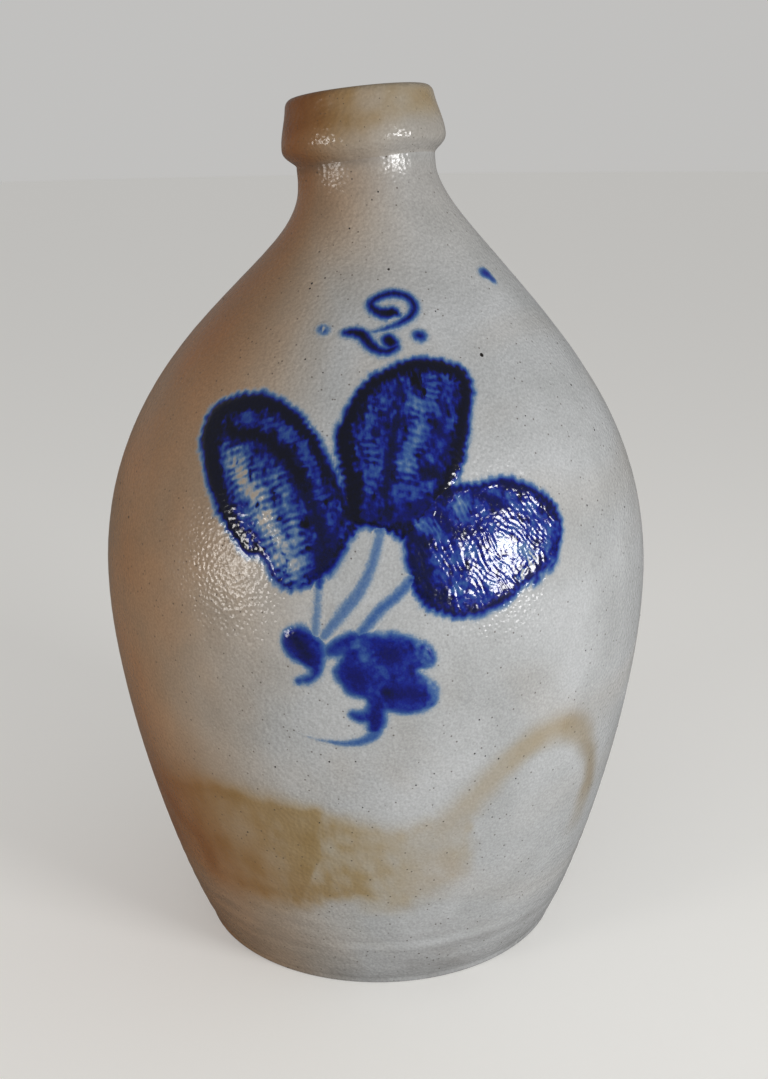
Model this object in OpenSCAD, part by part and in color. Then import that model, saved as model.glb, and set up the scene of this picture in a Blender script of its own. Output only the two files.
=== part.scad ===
// Two-gallon ovoid stoneware jug, wheel thrown, with a tooled collar, a strap handle
// at the back and a flower trailed in thick slip on the front.
// The origin is the middle of the foot, +Z is up and the flower faces -Y.

/* [Body] */
// Height to the middle of the lip
jug_h = 355; // [320:1:390]
// Diameter across the foot
foot_d = 160; // [135:1:185]
// Diameter at the widest point of the belly
belly_d = 231; // [205:1:255]
// Height of the widest point above the foot
belly_h = 158; // [135:1:180]
// Thickness of the thrown wall
wall_t = 7.5; // [5:0.5:10]
// Thickness of the floor
floor_t = 9; // [6:0.5:14]
// Radius rubbed on the heel of the foot
heel_r = 2.5; // [1:0.5:5]
// Radius between the floor and the wall inside
floor_corner_r = 22; // [12:1:30]

/* [Neck and collar] */
// Diameter of the neck under the collar
neck_d = 55.5; // [50:0.5:62]
// Diameter of the mouth
mouth_d = 30; // [24:1:34]
// Widest diameter of the collar, at its swell
collar_d = 67; // [64:0.5:74]
// Outer diameter at the top of the collar
lip_d = 60; // [54:0.5:64]
// Height of the collar
collar_h = 26; // [20:1:34]
// Height of the swell above the foot of the collar
swell_h = 7.5; // [5:0.5:10]
// Radius on the outer edge of the lip
lip_r = 3.5; // [2:0.5:5]
// Radius on the edge of the mouth
mouth_edge_r = 2; // [1:0.5:3]
// Height of the cone that opens the mouth into the neck
mouth_flare_h = 5; // [3:0.5:8]
// Angle at which the collar leans to the left, in degrees
lean_left = 5.5; // [0:0.5:8]
// Angle at which the collar leans back, in degrees
lean_back = 5; // [0:0.5:8]

/* [Handle] */
// Width of the strap where it leaves the neck
strap_w = 38; // [30:1:44]
// Width of the strap at its tail on the shoulder
tail_w = 30; // [22:1:38]
// Thickness of the strap where it leaves the neck
strap_t = 12; // [9:0.5:15]
// Thickness of the strap at its tail
tail_t = 9; // [7:0.5:12]
// Distance from the collar down to the middle of the strap's root
root_drop = 13; // [10:1:20]
// Height of the handle from its tail to its root
handle_h = 62; // [50:1:75]
// Distance from the axis of the jug to the middle of the strap at its furthest
handle_reach = 82; // [74:1:92]

/* [Slip flower] */
// Thickness of the slip above the wall
slip_t = 0.8; // [0.4:0.1:1.5]
// Height of the lowest curve of the flower above the foot
flower_low_h = 130; // [115:1:140]
// Height of the flower
flower_h = 132; // [110:1:140]
// Width of a stem
stem_w = 4.5; // [3:0.5:6]
// Full width of the tail stroke
tail_stroke_w = 5; // [3:0.5:7]

/* [Hidden] */

foot_r = foot_d / 2;
belly_r = belly_d / 2;
neck_r = neck_d / 2;
neck_in_r = neck_r - wall_t;
mouth_r = mouth_d / 2;
collar_r = collar_d / 2;
lip_out_r = lip_d / 2;

// The collar sits on a sloping seat, and the neck runs straight where the slope crosses it.
lean_total = acos(cos(lean_left) * cos(lean_back));
seat_h = jug_h - collar_h;
seat_dip = neck_r * sin(lean_total);
throat_h = seat_h - seat_dip;
overrun = wall_t;

// How round the curves are: shares of the height or width that each of them spans.
foot_swing_share = 0.22;
foot_rise_share = 0.09;
belly_low_share = 0.37;
shoulder_share = 0.59;
neck_sweep_share = 0.205;

// Shape of the strap: shares of its reach, height and thickness.
root_lift_share = 0.30;
root_out_share = 0.45;
crown_lift_share = 0.32;
crown_out_share = 1.22;
strap_dish_share = 0.22;
end_flare_share = 0.16;
corner_power = 0.7;

wall_steps = 22;
arc_steps = 6;
petal_steps = 4;
stroke_steps = 5;
strap_rings = 20;
strap_sides = 20;
turn_fn = 96;

// The flower's outlines are points on the wall: [degrees round from the front, share of flower_h].
left_petal_shares = [
    [-30, 0.91], [-18, 0.86], [-10, 0.78], [-6, 0.68], [-5.5, 0.57], [-9, 0.48],
    [-15, 0.43], [-20, 0.48], [-26, 0.51], [-33, 0.63], [-40, 0.73], [-42.5, 0.83]
];
middle_petal_shares = [
    [8, 0.99], [18, 0.99], [24.5, 0.91], [22, 0.81], [17, 0.69], [12, 0.61],
    [5.5, 0.57], [-4, 0.60], [-7, 0.72], [-8, 0.83], [-3, 0.93]
];
right_petal_shares = [
    [14, 0.67], [24, 0.69], [34, 0.66], [39.5, 0.56], [37, 0.45], [31, 0.41],
    [24, 0.37], [15, 0.34], [8, 0.39], [5.5, 0.49], [8, 0.60]
];
bud_shares = [
    [-16, 0.31], [-12, 0.315], [-10, 0.27], [-10, 0.20], [-13.5, 0.165],
    [-14.5, 0.175], [-12.4, 0.20], [-13.4, 0.23], [-17, 0.27]
];
leaf_cluster_shares = [
    [-9, 0.265], [-3, 0.31], [4, 0.31], [10, 0.25], [7, 0.20], [10.5, 0.14],
    [6, 0.07], [1.8, 0.09], [1, 0.04], [-1.2, 0.04], [-5, 0.075], [-2, 0.11],
    [-5, 0.15], [-7.5, 0.20], [-6, 0.245]
];
// The stems and the tail are trails: a middle line and its widths as shares of the full width.
left_stem_shares = [[-10.5, 0.44], [-10.8, 0.38], [-11.5, 0.31]];
left_stem_width_shares = [0.5, 0.7, 0.8];
middle_stem_shares = [[1, 0.59], [-0.5, 0.51], [-3, 0.43], [-6, 0.365], [-9.5, 0.30]];
middle_stem_width_shares = [0.7, 0.8, 1, 1, 0.5];
right_stem_shares = [[6.5, 0.47], [3, 0.42], [0.3, 0.37], [-3, 0.305]];
right_stem_width_shares = [0.6, 0.9, 0.9, 0.7];
tail_shares = [[0, 0.05], [-1.2, 0.00], [-4.5, -0.02], [-9, -0.02], [-14, -0.005]];
tail_width_shares = [0.6, 0.9, 0.6, 0.35, 0.15];

function cubic(p, t) =
    let (s = 1 - t) s * s * s * p[0] + 3 * s * s * t * p[1] + 3 * s * t * t * p[2] + t * t * t * p[3];
function cubic_slope(p, t) =
    let (s = 1 - t) s * s * (p[1] - p[0]) + 2 * s * t * (p[2] - p[1]) + t * t * (p[3] - p[2]);
function unit(v) = v / norm(v);
function left_of(v) = [-v[1], v[0]];
function curve(p, steps, first = 0) = [for (i = [first : steps]) cubic(p, i / steps)];
function curve_inside(p, steps, gap, first = 0) =
    [for (i = [first : steps]) cubic(p, i / steps) + gap * left_of(unit(cubic_slope(p, i / steps)))];
function arc(middle, r, from, to) =
    [for (i = [0 : arc_steps])
        let (a = from + (to - from) * i / arc_steps) middle + r * [cos(a), sin(a)]];
function reversed(p) = [for (i = [len(p) - 1 : -1 : 0]) p[i]];

// A smooth line through the points a to d, between b and c.
function through(a, b, c, d, t) =
    (2 * b + (c - a) * t + (2 * a - 5 * b + 4 * c - d) * t * t + (3 * b - a - 3 * c + d) * t * t * t) / 2;
function closed_line(p, steps) =
    let (n = len(p))
    [for (i = [0 : n - 1], s = [0 : steps - 1])
        through(p[(i + n - 1) % n], p[i], p[(i + 1) % n], p[(i + 2) % n], s / steps)];
function open_line(p, steps) =
    let (n = len(p) - 1)
    [for (i = [0 : n - 1], s = [0 : i == n - 1 ? steps : steps - 1])
        through(p[max(i - 1, 0)], p[i], p[i + 1], p[min(i + 2, n)], s / steps)];

// The thrown profile: [radius, height] from the heel to the neck.
lower_curve = [
    [foot_r, 0],
    [foot_r + foot_swing_share * (belly_r - foot_r), foot_rise_share * belly_h],
    [belly_r, belly_h * (1 - belly_low_share)],
    [belly_r, belly_h]
];
upper_rise = throat_h - belly_h;
upper_curve = [
    [belly_r, belly_h],
    [belly_r, belly_h + shoulder_share * upper_rise],
    [neck_r, throat_h - neck_sweep_share * upper_rise],
    [neck_r, throat_h]
];
neck_top_h = seat_h + seat_dip + overrun;
outer_wall = concat(curve(lower_curve, wall_steps), curve(upper_curve, wall_steps, 1), [[neck_r, neck_top_h]]);
inner_wall = concat(
    curve_inside(lower_curve, wall_steps, wall_t),
    curve_inside(upper_curve, wall_steps, wall_t, 1),
    [[neck_in_r, neck_top_h + overrun]]
);
outer_table = [for (p = outer_wall) [p[1], p[0]]];
inner_table = [for (p = inner_wall) [p[1], p[0]]];
function outer_r(z) = lookup(z, outer_table);
function inner_r(z) = lookup(z, inner_table);

module outer_form() {
    heel = arc([foot_r - heel_r, heel_r], heel_r, -90, 0);
    above = [for (p = outer_wall) if (p[1] > heel_r + heel_r) p];
    rotate_extrude($fn = turn_fn)
        polygon(concat([[0, 0]], [for (i = [0 : arc_steps - 1]) heel[i]], above, [[0, neck_top_h]]));
}

module hollow() {
    corner_top = floor_t + floor_corner_r;
    floor_edge = inner_r(floor_t) - floor_corner_r;
    corner = curve([
        [floor_edge, floor_t],
        [(floor_edge + inner_r(floor_t)) / 2, floor_t],
        [inner_r(floor_t + floor_corner_r / 2), floor_t + floor_corner_r / 2],
        [inner_r(corner_top), corner_top]
    ], arc_steps);
    above = [for (p = inner_wall) if (p[1] > corner_top + heel_r) p];
    rotate_extrude($fn = turn_fn)
        polygon(concat([[0, floor_t]], corner, above, [[0, neck_top_h + overrun]]));
}

// The collar's own frame: origin at the middle of the sloping seat, +Z out of the mouth.
module at_seat() {
    translate([0, 0, seat_h]) rotate([-lean_back, -lean_left, 0]) children();
}

module thrown_body() {
    color("#a79f92")
    difference() {
        outer_form();
        hollow();
        at_seat() cylinder(r = belly_r, h = collar_h + belly_h, $fn = turn_fn);
    }
}

module tooled_collar() {
    overhang = collar_r - neck_r;
    side_h = collar_h - lip_r - swell_h;
    underside = curve([
        [neck_r, 0],
        [neck_r + overhang / 2, swell_h / 3],
        [collar_r, swell_h / 2],
        [collar_r, swell_h]
    ], arc_steps);
    side = curve([
        [collar_r, swell_h],
        [collar_r, swell_h + side_h / 3],
        [lip_out_r + overhang / 5, swell_h + side_h * 2 / 3],
        [lip_out_r, swell_h + side_h]
    ], arc_steps, 1);
    lip = arc([lip_out_r - lip_r, collar_h - lip_r], lip_r, 15, 90);
    mouth_edge = arc([mouth_r + mouth_edge_r, collar_h - mouth_edge_r], mouth_edge_r, 90, 180);
    color("#a38a63")
    at_seat()
    rotate_extrude($fn = turn_fn)
        polygon(concat(
            [[neck_in_r, 0]], underside, side, lip, mouth_edge, [[mouth_r, mouth_flare_h]]
        ));
}

// The strap's middle line, as [distance from the axis, height], starts and ends inside the wall.
root_h = seat_h - seat_dip - root_drop;
tail_h = root_h - handle_h;
strap_line = [
    [outer_r(root_h) - wall_t / 2, root_h],
    [outer_r(root_h) + root_out_share * (handle_reach - outer_r(root_h)), root_h + root_lift_share * handle_h],
    [handle_reach * crown_out_share, root_h + crown_lift_share * handle_h],
    [outer_r(tail_h) - wall_t / 2, tail_h]
];

function strap_section(w, t) =
    [for (i = [0 : strap_sides - 1])
        let (a = 360 * i / strap_sides, c = cos(a), s = sin(a))
        let (dish = s > 0 ? 1 - strap_dish_share * (1 - c * c) : 1)
        [w / 2 * sign(c) * pow(abs(c), corner_power), t / 2 * s * dish]];

function strap_ring(u) =
    let (
        middle = cubic(strap_line, u),
        out = left_of(unit(cubic_slope(strap_line, u))),
        flare = 1 + end_flare_share * (pow(1 - u, 6) + pow(u, 6)),
        w = (strap_w + (tail_w - strap_w) * u) * flare,
        t = strap_t + (tail_t - strap_t) * u
    )
    [for (p = strap_section(w, t)) [p[0], middle[0] + out[0] * p[1], middle[1] + out[1] * p[1]]];

module strap_solid() {
    points = [for (k = [0 : strap_rings], p = strap_ring(k / strap_rings)) p];
    n = strap_sides;
    sides = [for (k = [0 : strap_rings - 1], i = [0 : n - 1])
        let (a = k * n + i, b = k * n + (i + 1) % n)
        each [[a, a + n, b + n], [a, b + n, b]]];
    first_end = [for (i = [1 : n - 2]) [0, i, i + 1]];
    last = strap_rings * n;
    last_end = [for (i = [1 : n - 2]) [last, last + i + 1, last + i]];
    polyhedron(points = points, faces = concat(sides, first_end, last_end));
}

module strap_handle() {
    color("#9b9184")
    difference() {
        strap_solid();
        outer_form();
    }
}

// A point of the flower as the front view shows it.
function on_front(p) =
    let (z = flower_low_h + p[1] * flower_h) [outer_r(z) * sin(p[0]), z];
function petal(shares) = closed_line([for (p = shares) on_front(p)], petal_steps);
function trail(shares, width_shares, w) =
    let (
        middle = open_line([for (p = shares) on_front(p)], stroke_steps),
        widths = open_line(width_shares, stroke_steps),
        n = len(middle) - 1,
        side = [for (i = [0 : n])
            w / 2 * widths[i] * left_of(unit(middle[min(i + 1, n)] - middle[max(i - 1, 0)]))]
    )
    concat([for (i = [0 : n]) middle[i] + side[i]], reversed([for (i = [0 : n]) middle[i] - side[i]]));

left_petal = petal(left_petal_shares);
middle_petal = petal(middle_petal_shares);
right_petal = petal(right_petal_shares);
bud = petal(bud_shares);
leaf_cluster = petal(leaf_cluster_shares);
left_stem = trail(left_stem_shares, left_stem_width_shares, stem_w);
middle_stem = trail(middle_stem_shares, middle_stem_width_shares, stem_w);
right_stem = trail(right_stem_shares, right_stem_width_shares, stem_w);
tail = trail(tail_shares, tail_width_shares, tail_stroke_w);

// Slip lies on the wall inside an outline, and stops where a stroke laid earlier is.
module slip(outline, earlier = []) {
    low = min([for (p = outline) p[1]]) - slip_t;
    high = max([for (p = outline) p[1]]) + slip_t;
    wall = concat(
        [[outer_r(low), low]], [for (p = outer_wall) if (p[1] > low && p[1] < high) p], [[outer_r(high), high]]
    );
    color("#1f2f73")
    intersection() {
        rotate_extrude($fn = turn_fn)
            polygon(concat(wall, reversed([for (p = wall) p + [slip_t, 0]])));
        rotate([90, 0, 0]) linear_extrude(height = belly_d)
            difference() {
                polygon(outline);
                for (stroke = earlier) polygon(stroke);
            }
    }
}

module left_petal_slip() { slip(left_petal, [middle_petal]); }
module middle_petal_slip() { slip(middle_petal); }
module right_petal_slip() { slip(right_petal, [middle_petal]); }
module left_stem_slip() { slip(left_stem, [left_petal, bud]); }
module middle_stem_slip() { slip(middle_stem, [middle_petal, bud, left_stem]); }
module right_stem_slip() { slip(right_stem, [right_petal, leaf_cluster]); }
module bud_slip() { slip(bud); }
module leaf_cluster_slip() { slip(leaf_cluster, [bud]); }
module tail_slip() { slip(tail, [leaf_cluster]); }

thrown_body();
tooled_collar();
strap_handle();
left_petal_slip();
middle_petal_slip();
right_petal_slip();
left_stem_slip();
middle_stem_slip();
right_stem_slip();
bud_slip();
leaf_cluster_slip();
tail_slip();
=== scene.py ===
# %% [markdown]
# # A salt-glazed stoneware jug
# A potter threw this jug on a wheel, pulled a strap handle for its back, and drew a flower on it in
# thick cobalt slip while the clay was still soft. Salt was thrown into the hot kiln, and its vapour
# left a glassy skin with small dimples, like the peel of an orange. We follow the potter: first the
# thrown wall, then the collar and the handle, then the slip, and at the end the glaze.
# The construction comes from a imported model, which we load as a fixed frame. Everything is in metres.

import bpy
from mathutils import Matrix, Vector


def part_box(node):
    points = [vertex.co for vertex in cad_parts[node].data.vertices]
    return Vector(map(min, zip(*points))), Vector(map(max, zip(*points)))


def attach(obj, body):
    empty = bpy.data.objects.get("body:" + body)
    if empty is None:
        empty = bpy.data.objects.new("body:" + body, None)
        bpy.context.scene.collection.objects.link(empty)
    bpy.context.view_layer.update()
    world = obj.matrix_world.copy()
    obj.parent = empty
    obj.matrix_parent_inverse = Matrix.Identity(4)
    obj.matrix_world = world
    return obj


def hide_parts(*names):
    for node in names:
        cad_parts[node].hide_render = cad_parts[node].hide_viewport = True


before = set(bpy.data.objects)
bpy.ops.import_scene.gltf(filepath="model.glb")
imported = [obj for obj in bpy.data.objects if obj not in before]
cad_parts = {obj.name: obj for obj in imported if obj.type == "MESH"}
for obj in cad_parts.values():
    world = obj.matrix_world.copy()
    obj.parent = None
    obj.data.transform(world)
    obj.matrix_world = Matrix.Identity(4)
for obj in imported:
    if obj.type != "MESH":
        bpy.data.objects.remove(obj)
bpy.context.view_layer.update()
print("CAD nodes:", ", ".join(sorted(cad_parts)))

# %% Tools and units
import math

import bpy
import numpy as np
from mathutils import Matrix, Vector

MM = 0.001

# %% [markdown]
# ## The camera
# The photograph was taken from a little above the collar, about half a metre in front of the jug.
# The lens and the tilt were worked out from the ellipse of the foot and the height of the collar.
# The camera stood a little askew, so it also rolls and turns by less than one degree.

# %% Place the camera
lens_mm = 46.3
film_mm = 36
camera_back = 576 * MM
camera_height = 355 * MM
look_down = math.radians(17.86)
askew_roll = math.radians(-0.78)
askew_turn = math.radians(-0.34)

bpy.ops.object.camera_add(location=(0, -camera_back, camera_height))
camera = bpy.context.object
camera.name = "camera"
aim = Matrix.Rotation(askew_turn, 3, "Z") @ Matrix.Rotation(math.pi / 2 - look_down, 3, "X")
camera.rotation_euler = (aim @ Matrix.Rotation(askew_roll, 3, "Z")).to_euler()
camera.data.lens = lens_mm
camera.data.sensor_fit = "VERTICAL"
camera.data.sensor_height = film_mm
bpy.context.scene.camera = camera
print("camera looks down", round(math.degrees(look_down), 1), "degrees")

# %% [markdown]
# ## The studio
# Two soft boxes stand in front of the jug, one on each side and about level with it. The right one
# is the stronger, as in the photograph. Their reflections break up on the dimpled glaze, which is
# what makes it look wet. A pale world fills the shadows, and a plain pale floor keeps the contact.
# The glaze mirrors a darker world and floor than we see, because a pale reflection would turn the
# deep blue to milk.

# %% Stand the lights
def soft_box(name, azimuth, height, size, watts, tint):
    """An area light that looks at the belly. Azimuth is in degrees round from the front."""
    turn = math.radians(azimuth)
    place = Vector((math.sin(turn) * box_distance, -math.cos(turn) * box_distance, height))
    target = Vector((0, 0, belly_height))
    bpy.ops.object.light_add(type="AREA", location=place)
    light = bpy.context.object
    light.name = name
    light.rotation_euler = (target - place).to_track_quat("-Z", "Y").to_euler()
    light.data.shape = "RECTANGLE"
    light.data.size, light.data.size_y = size
    light.data.energy = watts
    light.data.color = tint
    print(name, "stands", azimuth, "degrees round and gives", watts, "watts")


belly_height = 158 * MM
box_distance = 1.15
soft_box("right_soft_box", azimuth=50, height=0.32, size=(0.36, 0.28), watts=8.8,
         tint=(1.0, 0.995, 0.985))
soft_box("left_soft_box", azimuth=-55, height=0.28, size=(0.30, 0.26), watts=3.4,
         tint=(1.0, 0.96, 0.91))

# %% Light the world
def add(tree, kind, settings=None, inputs=None):
    """Adds a node, gives it its settings, and fills or links its inputs."""
    node = tree.nodes.new(kind)
    for name, value in (settings or {}).items():
        setattr(node, name, value)
    for key, value in (inputs or {}).items():
        if isinstance(value, bpy.types.NodeSocket):
            tree.links.new(value, node.inputs[key])
        else:
            node.inputs[key].default_value = value
    return node


def srgb(code):
    """An sRGB hex colour as linear red, green, blue and alpha."""
    shares = [int(code[i:i + 2], 16) / 255 for i in (1, 3, 5)]
    return [s / 12.92 if s <= 0.04045 else ((s + 0.055) / 1.055) ** 2.4 for s in shares] + [1.0]


fill_strength = 0.45
seen_strength = 0.605
mirrored_strength = 0.24
world = bpy.data.worlds.new("pale_studio")
bpy.context.scene.world = world
world.use_nodes = True
sky = world.node_tree
path = add(sky, "ShaderNodeLightPath")
mirrored = add(sky, "ShaderNodeMapRange", None,
               {"Value": path.outputs["Is Glossy Ray"], "To Min": fill_strength,
                "To Max": mirrored_strength})
strength = add(sky, "ShaderNodeMapRange", None,
               {"Value": path.outputs["Is Camera Ray"], "To Min": mirrored.outputs[0],
                "To Max": seen_strength})
backdrop = sky.nodes["Background"]
backdrop_tint = srgb("#f1f0ee")
backdrop.inputs["Color"].default_value = backdrop_tint
sky.links.new(strength.outputs[0], backdrop.inputs["Strength"])
bpy.context.scene.view_settings.view_transform = "Standard"
print("the world fills with", fill_strength, "and is mirrored at", mirrored_strength)


# %% Lay the floor
def new_finish(name):
    """A new material, its node tree and its shader."""
    material = bpy.data.materials.new(name)
    material.use_nodes = True
    return material, material.node_tree, material.node_tree.nodes["Principled BSDF"]


floor_radius = 6
floor_glow = 0.26
bpy.ops.mesh.primitive_circle_add(
    vertices=96, radius=floor_radius, fill_type="NGON", location=(0, 0, 0))
floor = bpy.context.object
floor.name = "studio_floor"
pale, paper, matt = new_finish("pale_matt_floor")
matt.inputs["Roughness"].default_value = 0.9
path = add(paper, "ShaderNodeLightPath")
# A Mix node has its colours at inputs 6 and 7, and its plain numbers at 2 and 3.
tone = add(paper, "ShaderNodeMix", {"data_type": "RGBA"},
           {"Factor": path.outputs["Is Glossy Ray"], 6: srgb("#e0dfdc"), 7: srgb("#8a8987")})
paper.links.new(tone.outputs[2], matt.inputs["Base Color"])
glow = add(paper, "ShaderNodeMath", {"operation": "MULTIPLY"},
           {0: path.outputs["Is Camera Ray"], 1: floor_glow})
matt.inputs["Emission Color"].default_value = backdrop_tint
paper.links.new(glow.outputs[0], matt.inputs["Emission Strength"])
floor.data.materials.append(pale)
print(floor.name, "is", 2 * floor_radius, "metres across")

# %% [markdown]
# ## The thrown wall
# A thrown pot is round, so its wall is one profile turned about the wheel's axis. We draw that
# profile as a Bezier curve with three knots: the heel, the belly and the throat. A second, coarser
# curve is the inside, and with the foot they make one closed line. Drawing the curve and spinning it
# is how a lathe or a wheel works, and it keeps the long sweep of the shoulder free of bumps. The spin
# takes fine steps over the third of the round where the flower lies, and coarser ones behind.

# %% Sizes of the wall, in millimetres
body_low, body_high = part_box("thrown_body")
belly_r = (body_high.x - body_low.x) / 2 / MM
belly_h = 158
foot_r = 80
heel_r = 2.5
wall_t = 7.5
floor_t = 9
neck_r = 27.75
neck_in_r = neck_r - wall_t
seat_h = 329
throat_h = 325.4
neck_top_h = 334
rise = throat_h - belly_h
foot_hollow_h = 1.2
print("belly radius", round(belly_r, 1), "mm")


# %% Draw a profile
def draw_profile(name, knots, steps, azimuth=0.0):
    """Draws knots (handle, point, handle) of [radius, height] in mm, and turns the curve into edges."""
    bpy.ops.curve.primitive_bezier_curve_add()
    curve = bpy.context.object
    curve.name = name
    spline = curve.data.splines[0]
    spline.bezier_points.add(len(knots) - len(spline.bezier_points))
    across = Vector((math.sin(azimuth), -math.cos(azimuth), 0)) * MM
    up = Vector((0, 0, MM))
    for point, knot in zip(spline.bezier_points, knots):
        before, middle, after = (across * r + up * h for r, h in knot)
        point.handle_left_type = point.handle_right_type = "FREE"
        point.co, point.handle_left, point.handle_right = middle, before, after
    curve.data.resolution_u = steps
    bpy.ops.object.convert(target="MESH")
    return bpy.context.object


def corner(r, h):
    """A knot with no handles, for a straight line."""
    return ((r, h), (r, h), (r, h))


first_azimuth = math.radians(-60)
outer_knots = [
    ((foot_r, heel_r), (foot_r, heel_r), (foot_r + 0.22 * (belly_r - foot_r), 0.09 * belly_h)),
    ((belly_r, 0.63 * belly_h), (belly_r, belly_h), (belly_r, belly_h + 0.59 * rise)),
    ((neck_r, throat_h - 0.205 * rise), (neck_r, throat_h), (neck_r, throat_h)),
]
inner_r = belly_r - wall_t
inner_knots = [
    corner(neck_r, throat_h),
    corner(neck_r, neck_top_h),
    corner(neck_in_r, neck_top_h),
    ((neck_in_r, throat_h), (neck_in_r, throat_h), (neck_in_r, throat_h - 0.2 * rise)),
    ((inner_r, belly_h + 0.58 * rise), (inner_r, belly_h), (inner_r, 0.63 * belly_h)),
    ((foot_r + wall_t, 0.2 * belly_h), (foot_r - wall_t, 2.4 * floor_t),
     (foot_r - 1.6 * wall_t, floor_t)),
    corner(foot_r - 3 * wall_t, floor_t),
    corner(0, floor_t),
]
foot_knots = [
    corner(0, foot_hollow_h),
    corner(foot_r - wall_t, foot_hollow_h),
    corner(foot_r - wall_t + foot_hollow_h, 0),
    ((foot_r - heel_r, 0), (foot_r - heel_r, 0), (foot_r, 0)),
    ((foot_r, 0), (foot_r, heel_r), (foot_r, heel_r)),
]
print(len(outer_knots), "knots outside,", len(inner_knots), "inside and", len(foot_knots), "at the foot")


# %% Spin the wall
seam_mm = 0.02


def pick(*objects):
    """Selects these objects and nothing else; the last one is active."""
    bpy.ops.object.select_all(action="DESELECT")
    for obj in objects:
        obj.select_set(True)
    bpy.context.view_layer.objects.active = objects[-1]


def merge_seams():
    """In edit mode, merges the points that meet."""
    bpy.ops.mesh.select_all(action="SELECT")
    bpy.ops.mesh.remove_doubles(threshold=seam_mm * MM)
    bpy.ops.mesh.select_all(action="SELECT")


def close_shell():
    """In edit mode, merges the seams and turns the faces outwards, then leaves it shaded smooth."""
    merge_seams()
    bpy.ops.mesh.normals_make_consistent(inside=False)
    bpy.ops.object.mode_set(mode="OBJECT")
    bpy.ops.object.shade_smooth()


def spin_closed(name, profiles, turns):
    """Joins profiles into one closed line and spins it. Each turn is (steps, degrees)."""
    pick(*profiles)
    if len(profiles) > 1:
        bpy.ops.object.join()
    shell = bpy.context.object
    shell.name = shell.data.name = name
    bpy.ops.object.mode_set(mode="EDIT")
    merge_seams()
    for steps, degrees in turns:
        bpy.ops.mesh.spin(steps=steps, angle=math.radians(degrees), center=(0, 0, 0), axis=(0, 0, 1))
    close_shell()
    print(name, len(shell.data.polygons), "faces")
    return shell


flower_turn, back_turn = (200, -120), (72, -240)
bpy.ops.object.select_all(action="DESELECT")
wall = spin_closed("stoneware_wall", [
    draw_profile("outside", outer_knots, 130, first_azimuth),
    draw_profile("inside", inner_knots, 8, first_azimuth),
    draw_profile("foot", foot_knots, 5, first_azimuth),
], [flower_turn, back_turn])
print("lowest and highest", [round(c[2], 4) for c in (wall.bound_box[0], wall.bound_box[1])])


# %% [markdown]
# ## Finding places on the wall
# The flower and the stains are drawn on a curved wall. The easiest map of a round pot has two
# numbers: degrees round from the front, and height in millimetres. With the profile's radius at
# that height, the two numbers give a point in space, and distances are then measured in space.

# %% Map degrees and height to the wall
def bezier(knot_a, knot_b, steps):
    """Points on the Bezier curve between two knots."""
    t = np.linspace(0, 1, steps)[:, None]
    p = np.array([knot_a[1], knot_a[2], knot_b[0], knot_b[1]], float)
    return (1 - t) ** 3 * p[0] + 3 * (1 - t) ** 2 * t * p[1] + 3 * (1 - t) * t * t * p[2] + t ** 3 * p[3]


profile = np.vstack([bezier(a, b, 3000) for a, b in zip(outer_knots[:-1], outer_knots[1:])])


def wall_radius(height):
    """The radius of the wall at a height, both in mm."""
    return np.interp(height, profile[:, 1], profile[:, 0])


def on_wall(line):
    """Points of [degrees, height] as points in space, in mm."""
    azimuth, height = np.radians(line[:, 0]), line[:, 1]
    radius = wall_radius(height)
    return np.column_stack([radius * np.sin(azimuth), -radius * np.cos(azimuth), height])


def places(mesh):
    """The vertices of a mesh in mm, and their degrees round from the front and heights."""
    co = np.empty(len(mesh.vertices) * 3)
    mesh.vertices.foreach_get("co", co)
    co = co.reshape(-1, 3) / MM
    return co, np.degrees(np.arctan2(co[:, 0], -co[:, 1])), co[:, 2]


def smooth_step(low, high, value):
    """0 at low and 1 at high, with a soft start and end. Low may be the larger of the two."""
    t = np.clip((value - low) / (high - low), 0, 1)
    return t * t * (3 - 2 * t)


print("radius under the numeral", round(float(wall_radius(265)), 1), "mm")

# %% Draw lines on the wall
def smooth_line(points, closed=False, steps=6):
    """A line through the points, bent smoothly as a hand draws it."""
    p = np.array(points, float)
    count = len(p) if closed else len(p) - 1
    out = []
    for i in range(count):
        ids = [i - 1, i, i + 1, i + 2]
        a, b, c, d = (p[k % len(p)] if closed else p[min(max(k, 0), len(p) - 1)] for k in ids)
        for t in np.arange(steps) / steps:
            out.append((2 * b + (c - a) * t + (2 * a - 5 * b + 4 * c - d) * t ** 2
                        + (3 * b - a - 3 * c + d) * t ** 3) / 2)
    out.append(p[0] if closed else p[-1])
    return np.array(out)


def nearest_on(line, co, reach=22.0):
    """For each place: the distance in mm to a line, the run along it, and the line's width there."""
    ends = on_wall(line)
    widths = line[:, 2] if line.shape[1] > 2 else np.zeros(len(line))
    close = ((co > ends.min(0) - reach) & (co < ends.max(0) + reach)).all(1)
    here = co[close]
    found = np.zeros((3, len(here)))
    found[0] = reach
    start = 0.0
    for i, (a, b) in enumerate(zip(ends[:-1], ends[1:])):
        step = b - a
        length = np.linalg.norm(step)
        t = np.clip((here - a) @ step / length ** 2, 0, 1)
        gap = np.linalg.norm(here - a - t[:, None] * step, axis=1)
        closer = gap < found[0]
        now = [gap, start + t * length, widths[i] + t * (widths[i + 1] - widths[i])]
        found[:, closer] = np.array(now)[:, closer]
        start += length
    everywhere = np.zeros((3, len(co)))
    everywhere[0] = reach
    everywhere[:, close] = found
    return everywhere


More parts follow.
